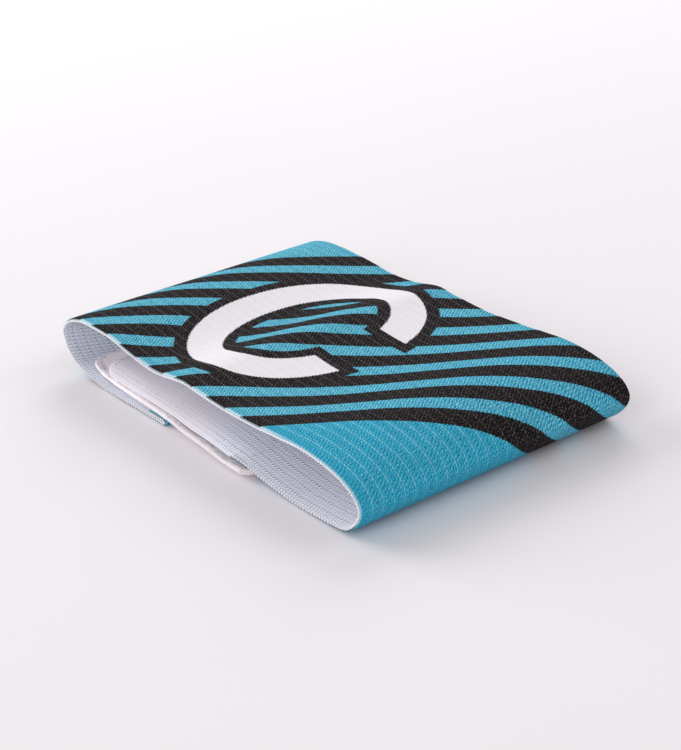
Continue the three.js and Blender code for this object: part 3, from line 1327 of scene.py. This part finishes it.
def ball(around: int, rows: int) -> tuple[np.ndarray, np.ndarray]:
    """Makes a unit ball of triangles and split quads.

    Args:
        around: Number of sides.
        rows: Number of rows from pole to pole.

    Returns:
        Its points and its triangles.
    """
    turns = np.arange(around) * (FULL_TURN / around)
    rises = (np.arange(1, rows) / rows - 0.5) * math.pi
    circle = np.stack([np.cos(turns), np.sin(turns), np.zeros(around)], axis=1)
    rings = [circle * math.cos(rise) + np.array([0, 0, math.sin(rise)]) for rise in rises]
    points = np.vstack([*rings, [[0, 0, -1]], [[0, 0, 1]]])
    faces = []
    for side in range(around):
        beside = (side + 1) % around
        faces.append((len(points) - 2, beside, side))
        top = (rows - 2) * around
        faces.append((len(points) - 1, top + side, top + beside))
        for row in range(rows - 2):
            low = row * around
            high = low + around
            faces.append((low + side, low + beside, high + beside))
            faces.append((low + side, high + beside, high + side))
    return points, np.array(faces)


def tube(course: np.ndarray, radius: float, sides: int) -> tuple[np.ndarray, np.ndarray]:
    """Makes a thin open tube along a course in the XZ plane.

    Args:
        course: Points of its middle line.
        radius: Its radius.
        sides: Number of its sides.

    Returns:
        Its points and its faces.
    """
    heading = unit(np.gradient(course, axis=0))
    beside = np.broadcast_to(np.array([0.0, 1.0, 0.0]), heading.shape)
    above = np.cross(heading, beside)
    turns = np.arange(sides) * (FULL_TURN / sides)
    ring = beside[:, None] * np.cos(turns)[:, None] + above[:, None] * np.sin(turns)[:, None]
    points = (course[:, None] + ring * radius).reshape(-1, 3)
    number = np.arange(len(points)).reshape(len(course), sides)
    low, high = number[:-1], number[1:]
    faces = np.stack([low, np.roll(low, -1, axis=1), np.roll(high, -1, axis=1), high], axis=-1)
    return points, faces.reshape(-1, 4)


# Sub-assemblies


@dataclass
class Elastic:
    """The elastic web, with its ribs, its turned hem, its looped selvedges and its seams."""

    shape: ArmbandShape
    printed: bpy.types.Material
    plain: bpy.types.Material
    # Painted shade for the rim faces between and behind the selvedge loops.
    rim_shade_finish: bpy.types.Material
    edge: bpy.types.Material
    thread: bpy.types.Material
    step: float = 1.2 * MM
    bend_density: float = 1.2
    end_density: float = 2.5 / MM
    rib_height: float = 0.012 * MM
    rib_half: float = 0.3 * MM
    edge_thin: float = 0.3
    edge_margin: float = 0.8 * MM
    sway_height: float = 0.06 * MM
    pucker_height: float = 0.05 * MM
    pucker_length: float = 5.1 * MM
    loops_until: float = 15.0 * MM
    seam_side: float = 2.2 * MM
    seam_from_end: float = 1.8 * MM
    seam_from_tape_start: float = 2.5 * MM
    seam_from_hem: float = 1.4 * MM
    seam_from_hook: float = 1.2 * MM
    bead_reach: tuple[float, float] = (0.38 * MM, 0.66 * MM)
    bead_thick: tuple[float, float] = (0.36 * MM, 0.27 * MM)
    bead_side: float = 0.34 * MM
    bead_drop: float = 0.2 * MM
    line: dict[Edge, np.ndarray] = field(init=False)
    nose: float = field(init=False)
    length: float = field(init=False)
    inner_face: ClothFace = field(init=False)

    def __post_init__(self) -> None:
        """Draws the near, middle and far side views at the same stations."""
        shape = self.shape
        hem = shape.hem()
        climb = shape.climb()
        end = np.array([[shape.end_place, shape.end_line]])
        last = np.linspace(climb[-1], end[0], 60)[1:]
        lines = {}
        for edge in Edge:
            bends = shape.bends(edge)
            tail = np.linspace(hem[-1], bends[0], 20)[1:-1]
            lines[edge] = np.vstack([hem, tail, bends, climb, last])
        middle = lines[Edge.MIDDLE]
        keep = np.concatenate([[True], np.linalg.norm(np.diff(middle, axis=0), axis=1) > 1e-7])
        middle = middle[keep]
        along = lengths_along(middle)
        course = np.gradient(middle, along, axis=0)
        turn = np.linalg.norm(np.gradient(course, along, axis=0), axis=1)
        near_end = np.maximum(1 - (along[-1] - along) / (2 * MM), 0)
        density = 1 / self.step + self.bend_density * turn + self.end_density * near_end
        cost = np.concatenate([[0], np.cumsum((density[1:] + density[:-1]) / 2 * np.diff(along))])
        stations = int(cost[-1]) + 1
        places = np.interp(np.linspace(0, cost[-1], stations), cost, along)
        for edge in Edge:
            kept = lines[edge][keep]
            lines[edge] = np.stack([np.interp(places, along, kept[:, axis]) for axis in (0, 1)], axis=1)
        self.line = lines
        self.length = float(along[-1])
        fold = along[int(np.argmax(middle[:, 0]))]
        self.nose = float(np.interp(fold, places, lengths_along(lines[Edge.MIDDLE])))

    @property
    def along(self) -> np.ndarray:
        """Distances of the stations from the plain fold, down the web."""
        return lengths_along(self.line[Edge.MIDDLE]) - self.nose

    def is_inner_end(self) -> np.ndarray:
        """Tells which stations lie on the inner end after it has left the floor."""
        line = self.line[Edge.MIDDLE]
        return (self.along > 0) & (line[:, 0] < self.shape.rest_place)

    def side_view(self, across: float) -> np.ndarray:
        """Gives the side view at a place across the web.

        Args:
            across: 0 at the near edge and 1 at the far edge.

        Returns:
            Places and heights of the wall's middle.
        """
        near = (1 - across) * (1 - 2 * across)
        middle = 4 * across * (1 - across)
        far = across * (2 * across - 1)
        return self.line[Edge.NEAR] * near + self.line[Edge.MIDDLE] * middle + self.line[Edge.FAR] * far

    def edges(self) -> tuple[np.ndarray, np.ndarray]:
        """Gives the places of the near and far edges on Y at each station."""
        shape = self.shape
        place = self.line[Edge.MIDDLE][:, 0]
        inner = self.is_inner_end()
        drift = np.where(inner, shape.drift(place), 0)
        inset = np.where(inner, corner_inset(place - shape.end_place, shape.end_corner), 0)
        return shape.near + drift + inset, shape.near + shape.width + drift - inset

    def columns(self) -> np.ndarray:
        """Gives the places of the grid's columns from the near edge, closer together at the ribs."""
        width = self.shape.width
        ribs = KNIT.rib_places() * MM
        beside = np.array([-1.0, -0.35, 0.35, 1.0]) * self.rib_half
        between = ribs[:-1] + KNIT.rib_pitch * MM / 2
        margin = np.array([0, 0.25, 0.55, 0.9, 1.9]) * MM
        return np.unique(np.concatenate([margin, (ribs[:, None] + beside).ravel(), between, width - margin]))

    def sewn_down(self) -> np.ndarray:
        """Gives how far the inner end is sewn onto the tape, from 0 to 1 at each station."""
        place = self.line[Edge.MIDDLE][:, 0]
        return np.where(self.is_inner_end(), soft_step((self.loops_until + 4 * MM - place) / (8 * MM)), 0)

    def build(self) -> bpy.types.Object:
        """Builds the web.

        Returns:
            The web's object.
        """
        shape = self.shape
        places = self.columns()
        low, high = self.edges()
        outer = np.empty((len(low), len(places), 3))
        inner = np.empty_like(outer)
        flat = np.empty((len(low), len(places), 2))
        ribs = KNIT.rib_places() * MM
        along = self.along
        end = self.is_inner_end()
        sewn = self.sewn_down()
        centre = (low + high - shape.width) / 2
        cut = sewn * soft_step(1 - (along[-1] - along) / (2 * MM))
        half = shape.wall / 2
        for column, place in enumerate(places):
            across = place / shape.width
            line = self.side_view(across)
            normal = left_normals(line)
            off_edge = min(place, shape.width - place)
            border = 1 - soft_step(np.array(off_edge / self.edge_margin))
            thin = 1 - np.maximum((self.edge_thin + 0.1 * sewn) * border, 0.5 * cut)
            off_rib = np.abs(ribs - place).min()
            rib = self.rib_height * soft_step(np.array(1 - off_rib / self.rib_half))
            y = low + (high - low) * across
            push = self.sway(along, place) + self.pucker(along, off_edge) * sewn
            top = line + normal * (half * thin - self.rib_height + rib + push)[:, None]
            under = line - normal * (half * thin - push)[:, None]
            drop = np.where(end, shape.sag(line[:, 0], y), 0)
            wide_border = 1 - soft_step(np.array(off_edge / (3 * self.edge_margin)))
            drop = drop + half * np.maximum(0.15 * sewn * wide_border, 0.3 * cut)
            outer[:, column] = np.stack([top[:, 0], y, top[:, 1] - drop], axis=1)
            inner[:, column] = np.stack([under[:, 0], y, under[:, 1] - drop], axis=1)
            flat[:, column, 0] = along / MM
            flat[:, column, 1] = (y - centre) / MM
        outer[:, :, 2] = np.maximum(outer[:, :, 2], 0)
        self.inner_face = ClothFace(inner, along, places, -1.0)
        wall = ClothWall(outer, inner, flat, 0.1 * MM, soft_rim=sewn > 0.5)
        web = wall.build("elastic_web", [self.printed, self.plain, self.rim_shade_finish])
        return add_piece(web)

    def sway(self, along: np.ndarray, place: float) -> np.ndarray:
        """Gives the cloth's small unevenness, which fades out where it lies on something.

        Args:
            along: Distances along the web from the plain fold.
            place: Distance from the near edge.

        Returns:
            How far the wall stands out.
        """
        free = soft_step((self.line[Edge.MIDDLE][:, 1] - 6 * MM) / (4 * MM))
        long_wave = np.sin(along / (17 * MM) + place / (23 * MM))
        short_wave = np.sin(along / (7.3 * MM) - place / (11 * MM) + 1.3)
        return self.sway_height * (long_wave + short_wave) * free

    def pucker(self, along: np.ndarray, off_edge: float) -> np.ndarray:
        """Gives the small puckers beside the seam.

        Args:
            along: Distances along the web.
            off_edge: Distance from the nearer edge.

        Returns:
            How far the wall stands out.
        """
        fade = math.exp(-((off_edge - 2.6 * MM) / (2.2 * MM)) ** 2)
        turns = along / self.pucker_length * FULL_TURN + 0.8 * np.sin(along / (6 * MM))
        return self.pucker_height * fade * np.sin(turns)

    def selvedges(self) -> bpy.types.Object:
        """Builds the rows of small yarn loops along both edges.

        Returns:
            The loops' object.
        """
        low, high = self.edges()
        sewn = self.sewn_down()
        places = []
        frames = []
        for across, side_y, outward in ((0.0, low, -1.0), (1.0, high, 1.0)):
            line = self.side_view(across)
            edge = np.stack([line[:, 0], side_y, line[:, 1]], axis=1)
            distance = lengths_along(edge)
            count = int(distance[-1] / (KNIT.course * MM))
            at = (np.arange(count) + 0.5) * distance[-1] / count
            middle = np.stack([np.interp(at, distance, edge[:, axis]) for axis in range(3)], axis=1)
            course = unit(np.gradient(middle, axis=0))
            normal = unit(np.stack([-course[:, 2], np.zeros(count), course[:, 0]], axis=1))
            side = np.cross(course, normal)
            raised = soft_step((middle[:, 2] - 2 * MM) / (5 * MM))
            reach = np.interp(raised, (0, 1), self.bead_reach)[:, None]
            thick = np.interp(raised, (0, 1), self.bead_thick)[:, None]
            frame = np.stack([course * reach, side * self.bead_side * -outward, normal * thick], axis=1)
            middle = middle - normal * self.bead_drop
            kept = np.interp(at, distance, sewn) < 0.5
            places.append(middle[kept])
            frames.append(frame[kept])
        loops = repeated("selvedge_loops", ball(8, 6), np.vstack(places), np.vstack(frames), self.edge)
        return add_piece(loops)

    def dress(self) -> bpy.types.Object:
        """Sews the closure's tapes and the hem to the web.

        Returns:
            The stitches' object.
        """
        shape = self.shape
        along = self.along
        near, far = self.seam_side, shape.width - self.seam_side
        tape_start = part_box("loop_patch")[1].x - self.seam_from_tape_start
        under_tape = self.is_inner_end() & (self.line[Edge.MIDDLE][:, 0] < tape_start)
        start = float(along[under_tape][0])
        end = along[-1] - self.seam_from_end
        hem = along[0] + self.seam_from_hem
        hook_low, hook_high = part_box("hook_patch")
        tip = along[0] + shape.hem_length + shape.tail_tip
        hook_start = tip - hook_high.x + self.seam_from_hook
        hook_stop = tip - hook_low.x - self.seam_from_hook
        hook_near = self.seam_side * 1.4
        hook_far = shape.width - self.seam_side * 1.6
        seams = [
            Seam((start, near), (end, near)),
            Seam((start, far), (end, far)),
            Seam((end, near), (end, far)),
            Seam((start, near), (start, far)),
            Seam((hem, near), (hem, far)),
            Seam((hook_start, hook_near), (hook_stop, hook_near)),
            Seam((hook_start, hook_far), (hook_stop, hook_far)),
        ]
        stitches = sew("stitches", self.inner_face, seams, self.thread)
        return add_piece(stitches)


@dataclass
class PileTape:
    """The pile tape under the inner end of the web."""

    shape: ArmbandShape
    finish: bpy.types.Material
    length: float = 81.0 * MM
    past_end: float = 5.0 * MM
    past_edge: float = 2.0 * MM
    skew: float = 1.6 * MM
    corner: float = 3.6 * MM
    step: float = 0.8 * MM
    lump: float = 0.12 * MM
    end_puff: float = 0.55 * MM
    edge_puff: float = 0.75 * MM
    end_wrinkle: float = 0.2 * MM
    margin_wrinkle: float = 0.1 * MM
    fuzz_per_area: float = 6.0
    fuzz_near: float = 2.2 * MM
    fuzz_far: float = 1.6 * MM
    fuzz_half: float = 0.26
    fuzz_height: float = 0.1
    fuzz_radius: float = 0.045
    top: ClothFace = field(init=False)

    def course(self) -> np.ndarray:
        """Draws the tape's middle from its start under the web to its end on the left fold.

        Returns:
            Places and heights.
        """
        shape = self.shape
        climb = shape.climb()
        under = climb + left_normals(climb) * shape.pile_to_web
        end = np.array([[shape.end_place, shape.pile_line]])
        line = np.vstack([under, end, shape.on_left_fold()])
        distance = lengths_along(line)
        stop = distance[len(under)] + self.past_end
        start = stop - self.length
        steps = int(self.length / self.step)
        inner_steps = np.linspace(start, stop, steps + 1)
        near_ends = start + self.corner * (1 - np.cos(np.linspace(0, math.pi / 2, 7)[:-1]))
        at = np.unique(np.concatenate([inner_steps, near_ends, start + stop - near_ends]))
        return np.stack([np.interp(at, distance, line[:, axis]) for axis in (0, 1)], axis=1)

    def wrinkle(self, distance: np.ndarray, columns: np.ndarray) -> np.ndarray:
        """Gives the soft wrinkles of the tape's free end and near margin.

        Args:
            distance: Distances along the tape.
            columns: Shares of its width.

        Returns:
            How far the tape stands up, stations by columns.
        """
        left = distance[-1] - distance[:, None]
        across = columns[None] * self.shape.width
        free_end = soft_step(1 - (left - 2 * MM) / (9 * MM))
        margin = soft_step(1 - across / (4 * MM))
        wave = np.sin(left / (1.1 * MM) + 1.4 * np.sin(across / (4.3 * MM)))
        long_wave = np.sin(distance[:, None] / (2.9 * MM) + across / (2.1 * MM))
        past_web = soft_step((self.past_end - 0.8 * MM - left) / (1.4 * MM))
        beside_web = soft_step((self.shape.tape_past_edge - 0.1 * MM - across) / (0.9 * MM))
        puff = np.maximum(self.end_puff * past_web, self.edge_puff * beside_web)
        return self.end_wrinkle * free_end * wave + self.margin_wrinkle * margin * long_wave + puff

    def build(self) -> bpy.types.Object:
        """Builds the tape.

        Returns:
            The tape's object.
        """
        shape = self.shape
        line = self.course()
        normal = left_normals(line)
        distance = lengths_along(line)
        inset = corner_inset(np.minimum(distance, distance[-1] - distance), self.corner)
        past = self.past_edge - self.skew * distance / distance[-1]
        low = shape.near + shape.drift(line[:, 0]) - past
        rows = int(shape.width / self.step) + 1
        columns = np.linspace(0, 1, rows)
        random = np.random.default_rng(7)
        lumps = random.random((len(line), rows, 2)) - 0.5
        y = (low + inset)[:, None] + (shape.width - 2 * inset)[:, None] * columns[None]
        drop = shape.sag(line[:, :1], y)
        wrinkle = self.wrinkle(distance, columns)
        half = shape.tape / 2
        grids = []
        for side, offset in enumerate((half, -half)):
            push = offset + (lumps[:, :, side] - 0.35 * np.sign(offset)) * self.lump
            push = push - wrinkle * (1 if side else 0.5)
            face = line[:, None] + normal[:, None] * push[:, :, None]
            grids.append(np.stack([face[:, :, 0], y, np.maximum(face[:, :, 1] - drop, 0.05 * MM)], axis=2))
        flat = np.stack(np.broadcast_arrays(distance[:, None] / MM, (y - shape.near) / MM), axis=2)
        self.top = ClothFace(grids[1], distance, columns * shape.width, -1.0)
        wall = ClothWall(grids[0], grids[1], flat, 0.35 * MM)
        tape = wall.build("pile_tape", [self.finish] * 3)
        return add_piece(tape)

    def dress(self) -> bpy.types.Object:
        """Lays short yarn loops on the tape's margins, where it stands out past the web.

        Returns:
            The loops' object.
        """
        random = np.random.default_rng(11)
        width = self.shape.width
        margins = (
            (0.0, self.length, 0.0, self.fuzz_near),
            (0.0, self.length, width - self.fuzz_far, width),
            (self.length - self.fuzz_far, self.length, 0.0, width),
        )
        along = []
        across = []
        for first, last, low, high in margins:
            count = int((last - first) * (high - low) / MM ** 2 * self.fuzz_per_area)
            along.append(first + (last - first) * random.random(count))
            across.append(low + (high - low) * random.random(count))
        places, axes = self.top.read(np.concatenate(along), np.concatenate(across))
        turn = random.random(len(places)) * FULL_TURN
        size = (0.7 + 0.6 * random.random(len(places)))[:, None] * MM
        cos, sin = np.cos(turn)[:, None], np.sin(turn)[:, None]
        forth = axes[:, 0] * cos + axes[:, 1] * sin
        beside = axes[:, 1] * cos - axes[:, 0] * sin
        frames = np.stack([forth * size, beside * size, axes[:, 2] * size], axis=1)
        bend = np.linspace(0, math.pi, 5)
        rise = np.sin(bend) * self.fuzz_height - 0.03
        course = np.stack([-np.cos(bend) * self.fuzz_half, np.zeros(5), rise], axis=1)
        loops = repeated("pile_loops", tube(course, self.fuzz_radius, 3), places, frames, self.finish)
        return add_piece(loops)


@dataclass
class HookTape:
    """The hook tape on the outer end of the web."""

    shape: ArmbandShape
    finish: bpy.types.Material
    ground: float = 0.4 * MM
    hook_pitch: float = 1.4 * MM
    hook_margin: float = 1.6 * MM
    hook_bend: float = 0.24 * MM
    hook_radius: float = 0.075 * MM

    def build(self) -> bpy.types.Object:
        """Builds the ground of the tape.

        Returns:
            The tape's object.
        """
        low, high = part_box("hook_patch")
        stations = np.linspace(low.x, high.x, 24)
        columns = np.linspace(low.y, high.y, 60)
        x, y = np.meshgrid(stations, columns, indexing="ij")
        outer = np.stack([x, y, np.full_like(x, low.z)], axis=2)
        inner = np.stack([x, y, np.full_like(x, low.z + self.ground)], axis=2)
        flat = np.stack([x / MM, y / MM], axis=2)
        wall = ClothWall(inner, outer, flat, 0.1 * MM)
        tape = wall.build("hook_tape", [self.finish] * 3)
        return add_piece(tape)

    def hooks(self) -> bpy.types.Object:
        """Builds the rows of hooks.

        Returns:
            The hooks' object.
        """
        low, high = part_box("hook_patch")
        margin = self.hook_margin
        across = np.arange(low.y + margin, high.y - margin, self.hook_pitch)
        along = np.arange(low.x + margin, high.x - margin, self.hook_pitch)
        x, y = np.meshgrid(along, across, indexing="ij")
        x = x + (np.arange(len(across)) % 2)[None] * self.hook_pitch / 2
        places = np.stack([x.ravel(), y.ravel(), np.full(x.size, low.z + self.ground)], axis=1)
        tall = high.z - low.z - self.ground
        bend = np.linspace(math.pi, -0.35 * math.pi, 7)
        sideways = self.hook_bend * (1 + np.cos(bend))
        upwards = tall + self.hook_bend * (np.sin(bend) - 1.1)
        arch = np.stack([sideways, np.zeros(7), upwards], axis=1)
        course = np.vstack([[[0, 0, -0.02 * MM]], arch])
        frames = np.broadcast_to(np.eye(3), (len(places), 3, 3))
        hooks = repeated("hooks", tube(course, self.hook_radius, 4), places, frames, self.finish)
        return add_piece(hooks)


# Stage


@dataclass(frozen=True)
class Lamp:
    """A square soft light that points at the armband, with its power in watts."""

    name: str
    at: tuple[float, float, float]
    power: float
    colour: Colour
    side: float = 0.8

    def hang(self) -> None:
        """Adds the light to the scene."""
        data = bpy.data.lights.new(self.name, "AREA")
        data.shape = "SQUARE"
        data.size = self.side
        data.energy = self.power
        data.color = self.colour[:3]
        made = bpy.data.objects.new(self.name, data)
        made.location = self.at
        made.rotation_euler = (-Vector(self.at)).to_track_quat("-Z", "Y").to_euler()
        bpy.context.scene.collection.objects.link(made)


LAMPS = (
    Lamp("left", (-1.1, -0.5, 0.5), 10.6, paint(255, 255, 255)),
    Lamp("front", (0.5, -1.1, 0.5), 6.1, paint(255, 255, 255)),
    Lamp("left_back", (-0.8, 0.8, 0.7), 6.3, paint(255, 254, 255)),
    Lamp("right_back", (0.7, 0.8, 0.7), 3.2, paint(255, 253, 254)),
)


@dataclass
class Studio:
    """The floor, the soft lights and the camera."""

    camera_at: tuple[float, float, float] = (0.3320, -0.2249, 0.18805)
    azimuth: float = -0.969
    dip: float = 0.427
    roll: float = -0.086
    lens_pixels: float = 1735.2
    frame_height: float = 750.0
    sensor: float = 36.0
    floor_half: float = 9.0
    surround: Colour = paint(255, 254, 255)
    surround_strength: float = 0.42

    def floor(self) -> bpy.types.Object:
        """Lays the floor.

        Returns:
            The floor's object.
        """
        half = self.floor_half
        points = np.array([[-half, -half, 0], [half, -half, 0], [half, half, 0], [-half, half, 0]])
        made = mesh_object("floor", points, np.array([[0, 1, 2, 3]]), [PaleFloor().material()])
        return made

    def camera(self) -> bpy.types.Object:
        """Sets the camera at the photograph's viewing angle.

        Returns:
            The camera's object.
        """
        data = bpy.data.cameras.new("camera")
        data.sensor_fit = "AUTO"
        data.sensor_width = self.sensor
        data.lens = self.lens_pixels * self.sensor / self.frame_height
        data.clip_start = 0.01
        data.clip_end = 20
        forward = Vector((
            math.sin(self.azimuth) * math.cos(self.dip),
            math.cos(self.azimuth) * math.cos(self.dip),
            -math.sin(self.dip),
        ))
        right = Vector((math.cos(self.azimuth), -math.sin(self.azimuth), 0))
        up = right.cross(forward)
        cos, sin = math.cos(self.roll), math.sin(self.roll)
        turned_right = cos * right + sin * up
        turned_up = -sin * right + cos * up
        axes = Matrix((turned_right, turned_up, -forward)).transposed()
        made = bpy.data.objects.new("camera", data)
        made.matrix_world = Matrix.Translation(self.camera_at) @ axes.to_4x4()
        bpy.context.scene.collection.objects.link(made)
        bpy.context.scene.camera = made
        return made

    def lights(self) -> None:
        """Sets the soft lights and the pale surroundings."""
        for lamp in LAMPS:
            lamp.hang()
        world = bpy.data.worlds.new("surroundings")
        world.use_nodes = True
        ground = world.node_tree.nodes["Background"]
        ground.inputs["Color"].default_value = self.surround
        ground.inputs["Strength"].default_value = self.surround_strength
        bpy.context.scene.world = world
        bpy.context.scene.view_settings.view_transform = "Standard"


def main() -> None:
    """Builds the stage and the armband, piece by piece."""
    logging.basicConfig(level=logging.INFO, format="%(message)s")
    studio = Studio()
    studio.camera()
    studio.floor()
    studio.lights()

    shape = ArmbandShape()
    edge = Yarn("edge_yarn", paint(232, 231, 235), 0.0005).material()
    # The grey rim yarn is painted shade on the rim faces between and behind the selvedge loops.
    rim_shade_finish = Yarn("rim_shade_yarn", paint(158, 160, 174), 0.0004).material()
    thread = Yarn("thread", paint(222, 216, 223), 0.0003).material()
    elastic = Elastic(shape, PrintedKnit().material(), PlainKnit().material(), rim_shade_finish, edge, thread)
    web = elastic.build()
    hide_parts("band")
    loops = elastic.selvedges()
    stitches = elastic.dress()
    pile = PileTape(shape, Pile().material())
    pile_tape = pile.build()
    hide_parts("loop_patch")
    pile_loops = pile.dress()
    hook = HookTape(shape, Nylon().material())
    hook_tape = hook.build()
    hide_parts("hook_patch")
    hooks = hook.hooks()


if __name__ == "__main__":
    main()
